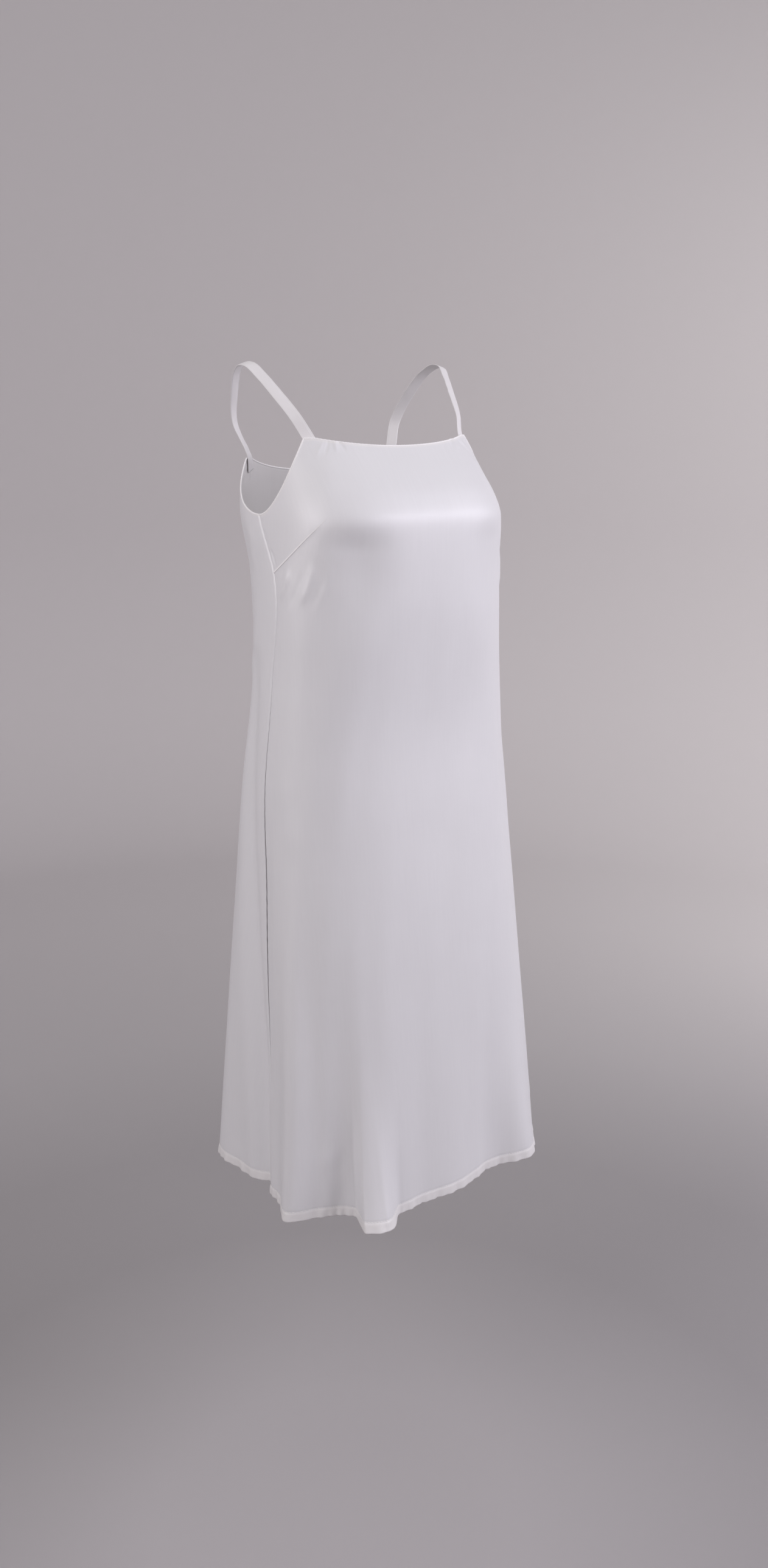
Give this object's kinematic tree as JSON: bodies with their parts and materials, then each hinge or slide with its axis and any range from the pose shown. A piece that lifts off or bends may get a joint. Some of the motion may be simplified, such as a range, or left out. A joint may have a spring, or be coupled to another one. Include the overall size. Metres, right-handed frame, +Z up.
{
  "type": "satin slip dress",
  "caption": "Knee-length slip dress in thin ivory satin with narrow shoulder straps, bust darts and a flared skirt, open and hollow as worn.",
  "frame": {"origin": "midway between the tops of the two shoulder straps, where a pair of shoulders holds the dress up", "axes": "+Z up, -Y towards the front, +X towards the wearer's left"},
  "size_m": [0.3705, 0.3571, 0.9276],
  "materials": {
    "panel_satin": "thin ivory satin, soft sheen",
    "strap_satin": "ivory satin folded double, soft sheen",
    "turned_satin": "turned-in ivory satin, matt side out"
  },
  "bodies": {
    "root": {"front_panel": "panel_satin", "back_panel": "panel_satin", "hem_front": "turned_satin", "hem_back": "turned_satin", "strap_right": "strap_satin", "strap_left": "strap_satin", "dart_right": "turned_satin", "dart_left": "turned_satin"}
  },
  "joints": []
}
